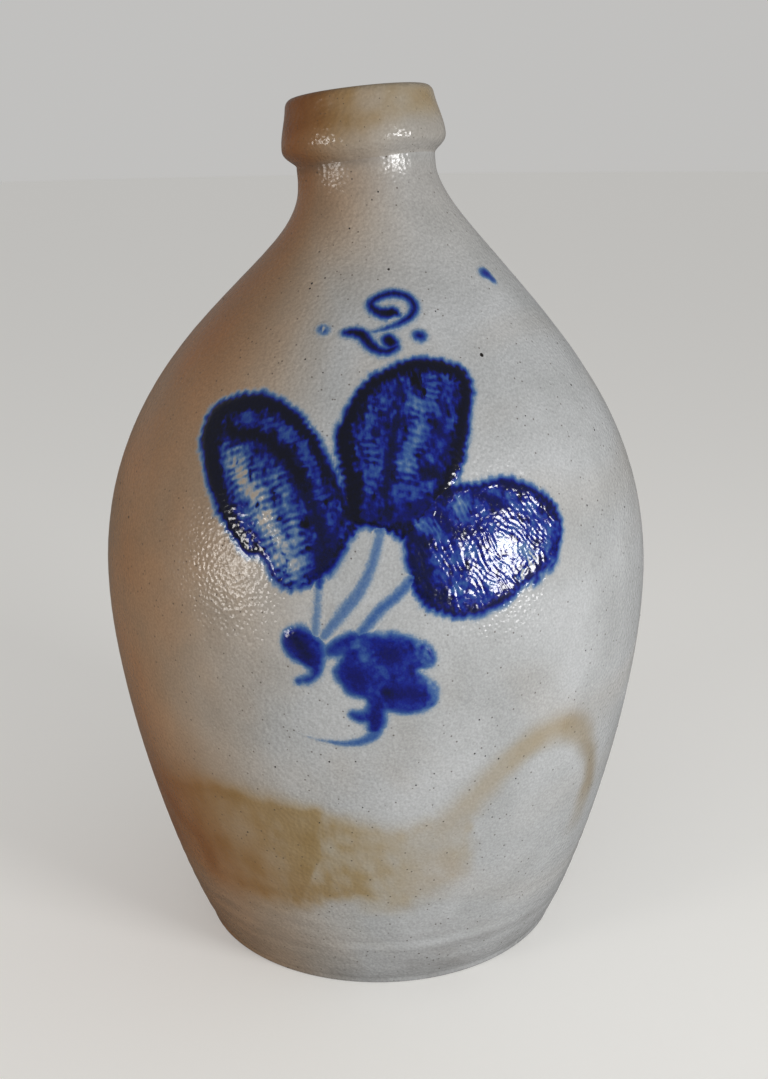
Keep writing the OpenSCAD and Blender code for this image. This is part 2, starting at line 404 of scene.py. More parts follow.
def inside(line, azimuth, height):
    """True where a place lies inside a closed line."""
    hit = np.zeros(len(azimuth), bool)
    for (a0, h0), (a1, h1) in zip(line[:-1, :2], line[1:, :2]):
        crosses = (h0 > height) != (h1 > height)
        reach = a0 + (height - h0) / (h1 - h0 if h1 != h0 else 1) * (a1 - a0)
        hit ^= crosses & (azimuth < reach)
    return hit


# %% Irregularity
swells = np.random.default_rng(1850).uniform(0, 1, (36, 3))


def cloudy(across, up, lump_mm, octaves=2):
    """Smooth lumps of about this size, mostly between -1 and 1, made of waves in all directions."""
    total, count = np.zeros(len(across)), 12
    for octave in range(octaves):
        for i, (turn, stretch, phase) in enumerate(swells[octave * count:(octave + 1) * count]):
            pitch = math.pi * (0.4 + 0.9 * stretch) / lump_mm * 2.1 ** octave
            angle = math.pi * (i + turn) / count
            total += 0.6 ** octave * np.sin(
                pitch * (across * math.cos(angle) + up * math.sin(angle)) + 40 * phase)
    return total / math.sqrt(count)


# %% [markdown]
# ## The flower as a drawing
# The potter trailed three petals, their stems, a bud and a cluster of leaves from a slip cup, in
# thick blue slip. A petal is an outline, and the slip is thickest in a rim along it. Inside, more
# strokes lie over each other, and the centre is nearly wiped away. So the drawing has three tables:
# outlines with the width of their rim, trails with their half width, and strokes with a darkness
# from 0 for bare clay to 1 for a black-blue ridge. Places are degrees round from the front and mm up.
# A trail fades out where its half width falls below zero.

# %% Petals: degrees, height, width of the dark rim
outlines = {
    "left_petal_slip": [
        (-41.5, 244.5, 8.5), (-36, 248.5, 7.5), (-29, 250, 6.5), (-22, 247.5, 5.5), (-17.5, 244, 5),
        (-13.5, 238.5, 4.5), (-11, 233, 4), (-8.5, 226, 3.5), (-5.5, 217, 3), (-3.5, 208.5, 2.5),
        (-5.5, 203, 2), (-7.5, 195, 2), (-10.5, 190.5, 2), (-14, 187, 1), (-17, 187, 0.8),
        (-19.5, 190.5, 0.8), (-20.5, 194, 1.2), (-22.5, 197.5, 2.5), (-25, 197, 3.5), (-28, 202, 4.5),
        (-32, 209, 5.5), (-35.5, 216.5, 6.5), (-39, 224.5, 8), (-42.5, 233, 9.5), (-43, 240, 9.5)],
    "middle_petal_slip": [
        (5, 260, 5), (-1.5, 256, 5), (-5, 250.5, 5), (-7, 244.5, 5), (-8.5, 238, 5.5), (-6.5, 223, 6.5),
        (-5, 210, 5), (-0.5, 208.5, 2.5), (3, 206.5, 2.5), (6, 204.5, 2.5), (11.5, 211.5, 4),
        (15.5, 220, 4.5), (18.5, 228, 4.5), (20.5, 234.5, 4.5), (23, 243.5, 4.5), (25.5, 252, 5),
        (24.5, 257.5, 5.5), (20, 260.5, 6), (13.5, 262, 5.5), (7.5, 261, 5)],
    "right_petal_slip": [
        (15.5, 221, 2.2), (21.5, 220.5, 2.5), (27, 221, 3.2), (32.5, 218, 3.8), (36, 213.5, 3.5),
        (38.5, 208, 3), (39, 201, 2.2), (37.5, 193.5, 1.2), (35.5, 187.5, 1), (32.5, 186.5, 1),
        (31.5, 183, 1), (29.5, 184.5, 1), (27.5, 182.5, 2), (25, 179, 3), (22, 177, 3), (17, 175, 2.6),
        (12.5, 177, 3), (8.5, 181, 3.4), (6.5, 188.5, 3.4), (5.5, 197.5, 3), (5.5, 205, 3),
        (7, 212, 2.5), (11, 219.5, 2.5)],
    "bud_slip": [
        (-14.5, 173, 1), (-16.8, 170.5, 1), (-17.2, 166, 1), (-16.2, 162, 1), (-13.4, 159, 1),
        (-12.2, 157, 0.6), (-12.4, 155, 0.4), (-14.8, 153, 0.4), (-14.6, 151.5, 0.4), (-12.3, 152, 0.4),
        (-10.4, 155, 0.4), (-9.8, 159.5, 0.8), (-9.4, 164.5, 1), (-10.8, 170, 1), (-12.7, 172.5, 1)],
    "leaf_cluster_slip": [
        (-9.4, 165, 0.5), (-7, 169.5, 0.8), (-3.5, 172, 0.8), (-0.7, 171, 1), (2.5, 171, 1),
        (5.8, 169.5, 1), (8, 167, 0.5), (10, 162.5, 0.5), (9.6, 158, 0.4), (7.4, 157.5, 0.5),
        (7.2, 155.8, 0.6), (8.8, 153, 0.8), (10.5, 148.5, 0.5), (10.3, 143.5, 0.5), (8.4, 140.4, 1),
        (5.2, 139.7, 1.2), (1.6, 141.2, 1), (1.2, 137.5, 0.6), (0.6, 133.5, 0.5), (-0.3, 131, 0.4),
        (-2, 133, 0.4), (-2.2, 136.2, 0.4), (-3.8, 137, 0.4), (-5.4, 140.2, 0.4), (-3, 141, 0.5),
        (-2, 143, 0.6), (-2.3, 145.8, 1), (-5.2, 148, 1.2), (-7, 153, 1.2), (-7.8, 156.5, 1),
        (-6.8, 160.4, 0.8), (-6.4, 162.8, 0.6), (-8.6, 162.6, 0.5)],
}

# %% Trails: degrees, height, half width
trails = {
    "left_stem_slip": [(-10.5, 190, 1.2), (-10.8, 180, 1.3), (-11.2, 171, 1.6)],
    "middle_stem_slip": [
        (1, 208, 1.4), (-0.6, 197, 1.6), (-3, 187, 1.9), (-5.5, 180.5, 2.0), (-9.6, 170, 1.4)],
    "right_stem_slip": [(7, 192, 1.4), (4, 185.5, 1.6), (0.6, 180, 1.7), (-3.2, 171, 1.5)],
    "tail_slip": [
        (0, 135, 1.5), (-0.8, 131.5, 1.9), (-3, 128.6, 1.4), (-5.7, 127.5, 0.9), (-8.5, 127.7, 0.3),
        (-11.5, 128.5, -0.4), (-15, 130.4, -1.5)],
    "numeral_hook": [
        (7.6, 276.4, 0.4), (5.6, 277.2, 1.8), (3, 277.0, 2.0), (-0.2, 277.8, 1.4), (-2.3, 280.2, 1.1),
        (0.6, 282.3, 1.0), (5.8, 283.4, 1.1), (10.8, 282.4, 1.0), (13.4, 279.8, 1.1),
        (12.6, 276.8, 1.0), (9.2, 274.4, 0.7), (5.2, 272.8, 0.2), (1.3, 271.6, -0.3),
        (-1.5, 271, -0.6)],
    "numeral_foot": [
        (-9.8, 270.8, 0.7), (-6.8, 270.9, 1.5), (-4, 269.9, 1.7), (-1.7, 267.2, 1.6),
        (1.2, 265.1, 1.2), (4.0, 264.9, 1.0), (6.0, 266.0, 0.9)],
    "numeral_dot": [(4.0, 268.3, 2.1), (4.7, 267.5, 2.1)],
    "side_dot": [(13.4, 269.4, 1.5), (14.0, 269.2, 1.5)],
    "faint_dot": [(-17.6, 271.8, 1.6), (-16.7, 271.4, 1.7)],
    "shoulder_blot": [(52.0, 287.6, 1.5), (53.4, 287.4, 2.3), (54.6, 286.6, 1.7), (55.6, 284.8, 1.0)],
}

# %% Strokes: line, half width, softness, darkness; the pale ones wipe the slip away
strokes = [
    ([(-35, 238), (-32.5, 236.5), (-28.5, 237), (-23, 234.5), (-18, 229), (-14.7, 222)], 2.5, 4.0, 0.95),
    ([(-18, 229), (-14.7, 222), (-12, 214), (-10.2, 206.5), (-9.5, 198), (-10, 192.5)], 2.6, 4.5, 0.86),
    ([(-9.5, 204), (-9.3, 197), (-10.2, 193)], 4.0, 4.5, 0.80),
    ([(5.3, 246), (4, 236), (2.9, 227.5), (2, 219), (2.6, 211.5)], 1.7, 3.6, 0.86),
    ([(9.8, 258.5), (11.1, 253.5), (11.8, 250)], 1.2, 1.8, 1.0),
    ([(-4, 213), (3, 211), (10, 216)], 2.6, 5.5, 0.78),
    ([(10.5, 226), (13, 224), (14, 218)], 2.4, 5.0, 0.88),
    ([(14.5, 240), (16, 234), (16, 228)], 1.8, 5.0, 0.80),
    ([(0, 243), (1, 238)], 0.8, 2.4, 0.84),
    ([(8, 204), (8.5, 196), (9, 189), (12, 182)], 2.6, 6.0, 0.86),
    ([(12, 212), (15, 206), (20, 205)], 2.2, 5.0, 0.80),
    ([(21, 217), (26, 211)], 2.0, 5.0, 0.80),
    ([(26, 184), (30, 188), (32, 192)], 2.0, 4.0, 0.82),
    ([(-15, 169), (-14, 166), (-12.6, 162.5)], 2.2, 4.4, 0.84),
    ([(1.4, 164), (2.6, 162.6)], 3.6, 6.0, 0.765),
    ([(-4.6, 155.6), (-3.6, 154)], 3.4, 6.0, 0.755),
    ([(2.6, 148.6), (6, 148)], 3.2, 6.0, 0.755),
    ([(1.2, 149), (1.8, 148.4)], 1.4, 3.6, 0.84),
    ([(0.2, 146), (-0.6, 138), (-0.6, 134)], 1.2, 3.6, 0.74),
    ([(-4.5, 138.5), (-1, 137)], 0.9, 2.4, 0.66),
    ([(6.2, 277.2), (4.2, 277.2)], 1.3, 1.5, 1.0),
    ([(-8.4, 270.9), (-5.2, 270.4), (-3, 268.9)], 1.2, 1.6, 1.0),
    ([(-2, 267.8), (-0.4, 266), (1.4, 265.2)], 0.8, 1.6, 0.92),
    ([(4.2, 268.3), (4.9, 267.7)], 1.3, 1.5, 1.0),
]
pale_strokes = [
    ([(-31, 227), (-28.5, 223), (-25, 217.5), (-22.5, 211), (-19.8, 205), (-17.5, 199.5),
      (-15.5, 194)], 4.4, 8.5, 0.15),
    ([(-21, 224), (-18.5, 217), (-16, 209), (-14.6, 201)], 1.6, 6.0, 0.30),
    ([(-29, 241), (-21, 239.5), (-15, 232.5), (-11.5, 226)], 1.2, 3.6, 0.56),
    ([(-11, 219), (-8.5, 211)], 0.9, 3.4, 0.52),
    ([(10, 249), (11, 244), (9.3, 238), (7.2, 232), (6.2, 226)], 2.0, 5.5, 0.36),
    ([(15.5, 254.5), (13.5, 247)], 1.0, 4.0, 0.44),
    ([(-1, 248), (0.6, 246)], 0.8, 4.0, 0.46),
    ([(-1.4, 235), (-0.6, 229), (-0.4, 223)], 1.2, 4.0, 0.45),
    ([(5, 221), (10, 220)], 0.8, 4.4, 0.52),
    ([(16.5, 215.5), (17.2, 211)], 1.6, 3.4, 0.34),
    ([(8, 209), (11, 207)], 0.9, 3.4, 0.40),
    ([(24, 199), (27, 197), (30, 194)], 1.6, 4.4, 0.36),
    ([(-3.8, 167.6), (-2.6, 165), (-2, 162)], 1.2, 3.4, 0.45),
    ([(6.6, 166.4), (8.4, 163), (9, 160)], 1.2, 3.4, 0.42),
    ([(9.2, 151), (9.8, 146), (9, 142)], 1.2, 3.4, 0.44),
    ([(0.4, 158.2), (1.0, 155)], 0.9, 2.6, 0.52),
    ([(-0.4, 161.5), (-1.6, 159)], 0.7, 2.6, 0.54),
    ([(13.6, 269.3), (13.9, 269.2)], 0.3, 0.9, 0.44),
    ([(-17.2, 271.6), (-17, 271.6)], 0.4, 1.4, 0.10),
    ([(31, 192.6), (27.6, 187)], 0.5, 1.2, 0.0),
]
fills = {
    "left_petal_slip": 0.68, "middle_petal_slip": 0.67, "right_petal_slip": 0.62,
    "bud_slip": 0.68, "leaf_cluster_slip": 0.65, "left_stem_slip": 0.28, "middle_stem_slip": 0.33,
    "right_stem_slip": 0.40, "tail_slip": 0.44, "numeral_hook": 0.92, "numeral_foot": 0.93,
    "numeral_dot": 0.95, "side_dot": 0.92, "faint_dot": 0.44, "shoulder_blot": 0.66,
}
rims = {
    "left_petal_slip": 0.94, "middle_petal_slip": 0.95, "right_petal_slip": 0.84,
    "bud_slip": 0.60, "leaf_cluster_slip": 0.58,
}
washes = ("left_stem_slip", "middle_stem_slip", "right_stem_slip", "tail_slip")
print(len(outlines), "outlines,", len(trails), "trails,", len(strokes) + len(pale_strokes), "strokes")

# %% [markdown]
# ## Measuring the drawing at each vertex
# One function measures one shape, and a second one the whole drawing, at any place on the wall. The
# second returns the distance to the nearest edge, positive inside the slip; the cobalt, which is how
# blue the place is; and the thickness of the slip, which changes more softly because the wet slip and
# the glaze both flow. The fourth number runs along each petal, because wet slip dries in fine ridges
# square to the way the cup was drawn. The wall and the slip pieces share this function, so their
# colours meet without a seam.

# %% Ridges and scallops of the slip
ridge_mm = 2.8
petal_axes = {
    "left_petal_slip": [(-34, 246), (-24, 218), (-15, 188)],
    "middle_petal_slip": [(10, 262), (4, 236), (1, 206)],
    "right_petal_slip": [(5, 196), (21, 199), (39, 205)],
}
scallop_mm = 3.3
print("the ridges are", ridge_mm, "mm apart and the scallops of an edge", scallop_mm, "mm")


# %% Measure one shape
def edge_of(name, co, azimuth, height):
    """Depth inside one shape, calm and then ragged, and the width of its rim there, all in mm."""
    across = np.radians(azimuth) * belly_r
    fray = 0.28 * cloudy(across, height, 4.5) + 0.16 * cloudy(across + 40, height, 2.0, 1)
    if name in outlines:
        line = smooth_line(outlines[name], closed=True)
        gap, along, rim = nearest_on(line, co)
        lobes = (0.30 + 0.22 * np.sin(along / 6)) * np.sin(
            2 * np.pi * along / scallop_mm + 3.2 * np.sin(along / 7))
        calm = np.where(inside(line, azimuth, height), gap, -gap)
        return calm, calm + (lobes + fray if name in petal_axes else 0.7 * fray), rim
    gap, _, half = nearest_on(smooth_line(trails[name]), co)
    return half - gap, half - gap + 0.2 * fray, half


# %% Measure the whole drawing
# Nothing is drawn outside these degrees and heights. The strokes of the leaves are the least frayed.
drawn_azimuths = (-52, 60)
drawn_heights = (118, 296)
leaf_top_h = 174
far_off = -20.0


def measure_slip(co, azimuth, height):
    """Edge, cobalt, thickness and ripple of the whole drawing at each place."""
    near = (azimuth > drawn_azimuths[0]) & (azimuth < drawn_azimuths[1])
    near &= (height > drawn_heights[0]) & (height < drawn_heights[1])
    result = np.zeros((4, len(co)))
    result[0] = far_off
    co, azimuth, height = co[near], azimuth[near], height[near]
    across = np.radians(azimuth) * belly_r
    # The mottle shifts the blue in soft lumps, and the ragged noise, in mm, frays the strokes.
    mottle = 0.11 * cloudy(across, height, 4.0) + 0.06 * cloudy(across, height + 90, 1.4)
    ragged = 0.7 * cloudy(across + 70, height, 3.0) + 0.45 * cloudy(across, height + 30, 1.3)
    edge, calm = np.full((2, len(co)), far_off)
    shade, thick, ripple = np.zeros((3, len(co)))
    # Each shape sets the blue where it is the deepest one: its fill, and its rim along the edge.
    for name in [*outlines, *trails]:
        own_calm, own, width = edge_of(name, co, azimuth, height)
        calm = np.maximum(calm, own_calm)
        wins = own > edge
        fill, rim = fills[name], rims.get(name, fills[name])
        cover = 1 - smooth_step(width - 1.4, width + 1.6, own + ragged)
        soft_cover = 1 - smooth_step(width - 2.5, width + 3.5, own)
        flat = fill + (mottle if name in petal_axes else 0.4 * mottle)
        if name in washes:
            flat = fill * (1.25 - 0.35 * np.clip(own / width, 0, 1))
        edge[wins] = own[wins]
        shade[wins] = (flat + (rim - flat) * cover)[wins]
        thick[wins] = (fill + (rim - fill) * soft_cover)[wins]
        if name in petal_axes:
            along = nearest_on(smooth_line(petal_axes[name]), co, 60)[1]
            bends = 0.8 * cloudy(across, height, 13) + 0.2 * cloudy(across, height, 4)
            if name == "right_petal_slip":
                bends = 2.0 * cloudy(across, height, 11) + 0.35 * cloudy(across, height, 4)
                bends += (0.45 + 0.012 * (azimuth - 20)) * (height - 200)
            ripple[wins] = (along + bends)[wins]
    # Dark strokes add to it. Pale strokes wipe it away, and the ridges comb their edges.
    comb = np.sin(2 * np.pi * ripple / ridge_mm) * (1.4 + 0.6 * cloudy(across, height + 50, 6))
    for line, half, soft, dark in strokes:
        gap = nearest_on(smooth_line(line), co)[0]
        rough = np.where(height < leaf_top_h, 0.4, 1) * ragged
        cover = 1 - smooth_step(half - soft / 2, half + soft / 2, gap + rough)
        soft_cover = 1 - smooth_step(half - soft / 2 - 1, half + soft / 2 + 1.5, gap)
        shade = np.where(edge > -3, np.maximum(shade, shade + (dark - shade) * cover), shade)
        thick = np.where(edge > -3, np.maximum(thick, thick + (dark - thick) * soft_cover), thick)
    for line, half, soft, pale_shade in pale_strokes:
        gap = nearest_on(smooth_line(line), co)[0]
        cover = 1 - smooth_step(half - soft / 2, half + soft / 2, gap + ragged + comb)
        soft_cover = 1 - smooth_step(half - soft / 2 - 1, half + soft / 2 + 1, gap)
        shade += (pale_shade + 0.5 * mottle - shade) * cover * smooth_step(0.98, 0.80, shade)
        thick += (pale_shade - thick) * soft_cover
    # The edge is soft, and a faint halo of cobalt runs out past it.
    blurred = edge + 0.14 * cloudy(across, height, 1.6)
    halo = 0.22 * shade * smooth_step(-3.9, -0.8, blurred)
    result[:, near] = calm, np.maximum(shade * smooth_step(-2.6, 1.9, blurred), halo), thick, ripple
    return result


# %% Paint the cobalt on the wall
def paint(obj, name, values):
    """Stores one number per vertex, as weight painting does, for materials to read."""
    layer = obj.data.attributes.new(name, "FLOAT", "POINT")
    layer.data.foreach_set("value", np.asarray(values, np.float32))


slip_edge, cobalt, _, _ = measure_slip(*places(wall.data))
paint(wall, "cobalt", cobalt)
print("wall vertices under slip:", int((slip_edge > 0).sum()))

# %% [markdown]
# ## The slip in relief
# Cobalt slip stands up from the wall, thickest along its rims. Each shape is a fine upright grid,
# shrink-wrapped onto the wall, trued to its exact radius so that no facet shows, trimmed to its
# outline and raised by painted weights. A skin of a tenth of a millimetre reaches a little past the
# blue and then dives under the glaze, so the edge of the sheet is never seen. A Solidify modifier
# gives the sheet a back, to make it a closed piece.

# %% How high the slip stands
sunk_mm = 0.45


def slip_height(own, union, thick, ripple, co, height_mm, ridges, skin_mm):
    """How far the slip stands above its sunk edge, in mm: a skin, a crown on it, and fine ridges."""
    skin = (sunk_mm + skin_mm) * smooth_step(-2.6, -1.6, own)
    crown = smooth_step(-1.2, 3.0, union) * (0.35 + 0.65 * thick) * height_mm
    crown = crown - 0.3 * height_mm * smooth_step(1.5, -1.5, own)
    patchy = 0.8 + 0.3 * cloudy(co[:, 0], co[:, 2], 7)
    swing = np.sin(2 * np.pi * ripple / ridge_mm) + 0.25 * np.sin(4.7 * np.pi * ripple / ridge_mm)
    wave = 2 * np.sqrt(np.clip(0.52 + 0.4 * swing, 0, None)) - 1.4
    lumps = 1.6 * cloudy(co[:, 0] + 60, co[:, 2], 11)
    return skin + crown + (wave * patchy + lumps) * ridges * smooth_step(1.0, 3.4, own)


# %% Raise one shape from the wall
grid_mm = 0.36
sheet_margin = 3.2
back_mm = 0.6


def shape_with(obj, name, kind, settings):
    """Gives a piece a modifier with its settings and applies it."""
    modifier = obj.modifiers.new(name, kind)
    for key, value in settings.items():
        setattr(modifier, key, value)
    bpy.ops.object.modifier_apply(modifier=modifier.name)


def raise_slip(name, height_mm, ridges, skin_mm):
    """One shape of the drawing as a closed skin that stands up from the wall."""
    closed = name in outlines
    line = smooth_line(outlines[name] if closed else trails[name], closed)
    spread = sheet_margin + (0 if closed else line[:, 2].max())
    corners = on_wall(line)
    low, high = corners.min(0) - spread, corners.max(0) + spread
    size_x, size_z = high[0] - low[0], high[2] - low[2]
    bpy.ops.object.select_all(action="DESELECT")
    bpy.ops.mesh.primitive_grid_add(
        x_subdivisions=int(size_x / grid_mm), y_subdivisions=int(size_z / grid_mm), size=1)
    sheet = bpy.context.object
    sheet.name = sheet.data.name = name + "_relief"
    sheet.scale = (size_x * MM, size_z * MM, 1)
    sheet.rotation_euler = (math.pi / 2, 0, 0)
    sheet.location = ((low[0] + high[0]) / 2 * MM, -1.5 * belly_r * MM, (low[2] + high[2]) / 2 * MM)
    bpy.ops.object.transform_apply(location=True, rotation=True, scale=True)
    shape_with(sheet, "wrap", "SHRINKWRAP", {
        "target": wall, "wrap_method": "PROJECT", "use_project_y": True,
        "use_positive_direction": True, "use_negative_direction": False})
    co, _, height = places(sheet.data)
    co[:, :2] *= (wall_radius(height) / np.hypot(co[:, 0], co[:, 1]))[:, None]
    sheet.data.vertices.foreach_set("co", (co * MM).ravel())

    own = edge_of(name, *places(sheet.data))[0]
    bpy.ops.object.mode_set(mode="EDIT")
    bpy.ops.mesh.select_mode(type="VERT")
    bpy.ops.mesh.select_all(action="DESELECT")
    bpy.ops.object.mode_set(mode="OBJECT")
    sheet.data.vertices.foreach_set("select", own < -sheet_margin + 0.2)
    bpy.ops.object.mode_set(mode="EDIT")
    bpy.ops.mesh.delete(type="VERT")
    bpy.ops.object.mode_set(mode="OBJECT")

    co, azimuth, height = places(sheet.data)
    own = edge_of(name, co, azimuth, height)[0]
    union, cobalt, thick, ripple = measure_slip(co, azimuth, height)
    relief = slip_height(own, union, thick, ripple, co, height_mm, ridges, skin_mm)
    paint(sheet, "cobalt", cobalt)
    weights = sheet.vertex_groups.new(name="relief")
    top = relief.max()
    for i, weight in enumerate(np.clip(relief / top, 0, 1)):
        weights.add([i], float(weight), "REPLACE")
    for label, strength, group in (("sink", -sunk_mm, ""), ("raise", top, "relief")):
        shape_with(sheet, label, "DISPLACE", {
            "mid_level": 0, "strength": strength * MM, "vertex_group": group})
    shape_with(sheet, "back", "SOLIDIFY", {"thickness": back_mm * MM, "offset": -1})
    bpy.ops.object.shade_smooth()
    print(sheet.name, len(sheet.data.polygons), "faces, up to", round(top - sunk_mm, 2), "mm high")
    return sheet


# %% Raise them all
# Each skin is a hair thicker than the one before, so no two lie in the same place where they cross.
first_skin, skin_step = 0.05, 0.01
petal_relief, leaf_relief, wash_relief = 0.7, 0.6, 0.25
slip_pieces = {}
ridge_heights = {"left_petal_slip": 0.04, "middle_petal_slip": 0.04, "right_petal_slip": 0.12}
for i, name in enumerate([*outlines, *trails]):
    high = petal_relief if name in petal_axes else leaf_relief if name in outlines else wash_relief
    skin = first_skin + skin_step * i
    slip_pieces[name] = raise_slip(name, high, ridge_heights.get(name, 0.0), skin)

# %% [markdown]
# ## The collar
# The thick collar was shaped with a rib while the jug still turned, and the neck then sagged a
# little, so it leans. It is a second profile: the underside, the swell, the side, the rounded lip
# and the mouth. We spin it upright, and only then lean it and set it on the neck.

# %% Draw and lean the collar
mouth_r, swell_r, lip_out_r = 15, 33, 29.8
collar_h, swell_h, lip_r, edge_r = 26, 7.5, 3.5, 2
flare_h = 5
lean_left, lean_back = math.radians(5.5), math.radians(5)
fillet_low_h = -1.6
collar_knots = [
    corner(neck_in_r, fillet_low_h),
    corner(neck_r - 1, fillet_low_h),
    ((neck_r + 0.1, -1.2), (neck_r + 0.2, -0.2), (neck_r + 0.35, 1.4)),
    ((swell_r, swell_h / 2 - 0.6), (swell_r, swell_h - 0.8), (swell_r, swell_h + 4.5)),
    ((lip_out_r + 0.8, 17), (lip_out_r, collar_h - lip_r), (lip_out_r - 0.3, collar_h - 1.2)),
    ((lip_out_r - 1.8, collar_h), (lip_out_r - lip_r, collar_h), (lip_out_r - lip_r, collar_h)),
    ((mouth_r + edge_r, collar_h), (mouth_r + edge_r, collar_h), (mouth_r + 0.6, collar_h)),
    ((mouth_r, collar_h - 0.6), (mouth_r, collar_h - edge_r), (mouth_r, collar_h - edge_r)),
    corner(mouth_r, flare_h),
    corner(neck_in_r, fillet_low_h),
]
bpy.ops.object.select_all(action="DESELECT")
collar = spin_closed("leaning_collar", [draw_profile("collar_profile", collar_knots, 9)], [(180, -360)])
collar.rotation_euler = (-lean_back, -lean_left, 0)
collar.location = (0, 0, (seat_h + 0.4) * MM)
pick(collar)
bpy.ops.object.transform_apply(location=True, rotation=True, scale=True)

# %% [markdown]
# ## The strap handle
# A handle is pulled: wet clay is stroked into a long strap, laid in a loop from the neck to the
# shoulder, and its ends are pressed on. A Bezier curve is the loop, and a flat section with two
# shallow finger grooves is swept along it. The strap tapers as it is pulled, so the radius of the
# curve falls along the loop, and it grows again at each end where the clay was pressed out. The
# lower end was thumbed flat against the shoulder, so a low rounded pad of clay lies over it.

# %% Draw the strap's section
strap_w, strap_t = 38, 12
section_count = 40
groove_depth = 1.1


def strap_section():
    """A closed poly curve of the strap's section, with the grooves on its outer face."""
    bpy.ops.curve.primitive_bezier_circle_add(radius=1)
    section = bpy.context.object
    section.name = "strap_section"
    section.data.splines.clear()
    spline = section.data.splines.new("POLY")
    spline.points.add(section_count - 1)
    spline.use_cyclic_u = True
    for i, point in enumerate(spline.points):
        turn = 2 * math.pi * i / section_count
        c, s = math.cos(turn), math.sin(turn)
        across = strap_w / 2 * math.copysign(abs(c) ** 0.7, c)
        dish = groove_depth * math.cos(3 * math.pi * c / 2) ** 2 * (1 - c ** 4) if s > 0 else 0
        point.co = (across * MM, (strap_t / 2 * s - dish) * MM, 0, 1)
    return section


# %% Draw the loop of the strap
root_h, tail_h = 312.4, 250.4
root_r, tail_r = wall_radius(root_h), wall_radius(tail_h)
handle_reach = 82
strap_radii = [1.24, 1.07, 0.99, 0.95, 0.92, 0.89, 0.86, 0.83, 0.80, 0.82, 0.99]
loop = [
    (root_r - wall_t / 2, root_h),
    (root_r + 0.45 * (handle_reach - root_r), root_h + 18.6),
    (handle_reach * 1.22, root_h + 19.8),
    (tail_r - wall_t / 2, tail_h),
]
section = strap_section()
bpy.ops.curve.primitive_bezier_curve_add()
strap = bpy.context.object
strap.name = "pulled_strap"
ends = strap.data.splines[0].bezier_points
for knot in ends:
    knot.handle_left_type = knot.handle_right_type = "FREE"
start, start_handle, end_handle, end = (Vector((0, y * MM, z * MM)) for y, z in loop)
ends[0].co, ends[0].handle_right, ends[0].handle_left = start, start_handle, 2 * start - start_handle
ends[1].co, ends[1].handle_left, ends[1].handle_right = end, end_handle, 2 * end - end_handle
bpy.ops.object.mode_set(mode="EDIT")
bpy.ops.curve.select_all(action="SELECT")
bpy.ops.curve.subdivide(number_cuts=len(strap_radii) - 2)
bpy.ops.object.mode_set(mode="OBJECT")
print("the loop reaches out to", round(max(y for y, z in loop), 1), "mm at its handles")

# %% Taper it and sweep the section along it
spline = strap.data.splines[0]
spline.radius_interpolation = "CARDINAL"
for knot, radius in zip(spline.bezier_points, strap_radii):
    knot.radius = radius
strap.data.resolution_u = 12
strap.data.bevel_mode = "OBJECT"
strap.data.bevel_object = section
strap.data.use_fill_caps = True
pick(strap)
bpy.ops.object.convert(target="MESH")
strap = bpy.context.object
bpy.data.objects.remove(section)
bpy.ops.object.mode_set(mode="EDIT")
close_shell()
print("strap is", [round(d / MM, 1) for d in strap.dimensions], "mm")


# %% Press its lower end on
def wall_slope(height):
    """How far the wall leans from upright at a height, in radians."""
    return math.atan2(wall_radius(height + 1) - wall_radius(height - 1), 2)


press_h = tail_h - 2
press_half = (20.0, 5.5, 15.0)
bpy.ops.object.select_all(action="DESELECT")
bpy.ops.mesh.primitive_uv_sphere_add(
    segments=48, ring_count=24, radius=MM, location=(0, wall_radius(press_h) * MM, press_h * MM),
    rotation=(wall_slope(press_h), 0, math.pi))
pressed = bpy.context.object
pressed.scale = press_half
bpy.ops.object.transform_apply(location=True, rotation=True, scale=True)
bpy.ops.object.shade_smooth()
pick(pressed, strap)
bpy.ops.object.join()
print("pressed end is", 2 * press_half[0], "mm wide")

# %% [markdown]
# ## Iron spots
# Grains of iron in the clay melted through the glaze and left small black spots, and a few brown
# scrapes where the pot was touched before firing. The finest specks are left to the material. The
# larger ones are tiny flattened spheres, sunk in the wall until they stand 0.1 mm proud.

# %% Set the larger spots: degrees, height, radius in millimetres
spots = [
    (32, 261.5, 0.79), (4.5, 291.5, 0.50), (8.5, 277, 0.32), (21, 277, 0.29), (13.5, 268, 0.29),
    (18.5, 119, 0.36), (20.8, 117, 0.29), (23.8, 114.5, 0.36), (7, 108, 0.32), (28.5, 103, 0.36),
    (24, 87, 0.29), (19, 133.5, 0.32), (10.5, 112.5, 0.29), (-9.5, 119, 0.36), (-4.5, 119.5, 0.29),
    (-20.5, 114, 0.36), (-12.5, 90, 0.29), (-3.5, 98.5, 0.29), (-30, 78.5, 0.36), (6, 316.5, 0.32),
    (0.5, 314, 0.25), (-16, 305, 0.36), (-28.5, 286.5, 0.43), (-28.3, 284.8, 0.36), (-23.5, 288.5, 0.32),
    (48, 205, 0.36), (44, 150, 0.32), (-20, 262, 0.32), (-14, 258, 0.25), (38, 240, 0.29)]
scatter = np.random.default_rng(7)
scatter_count = 60
proud_mm = 0.12
for _ in range(scatter_count):
    spots.append((scatter.uniform(60, 320), scatter.uniform(40, 290), scatter.uniform(0.25, 0.45)))
bpy.ops.object.select_all(action="DESELECT")
dots = []
for degrees, height, radius in spots:
    middle = on_wall(np.array([[degrees, height]]))[0]
    bpy.ops.mesh.primitive_ico_sphere_add(subdivisions=2, radius=radius * MM, location=middle * MM)
    dot = bpy.context.object
    dot.rotation_euler = (wall_slope(height), 0, math.radians(degrees))
    dot.scale = (1, proud_mm / radius, 1.15)
    dots.append(dot)
pick(*dots)
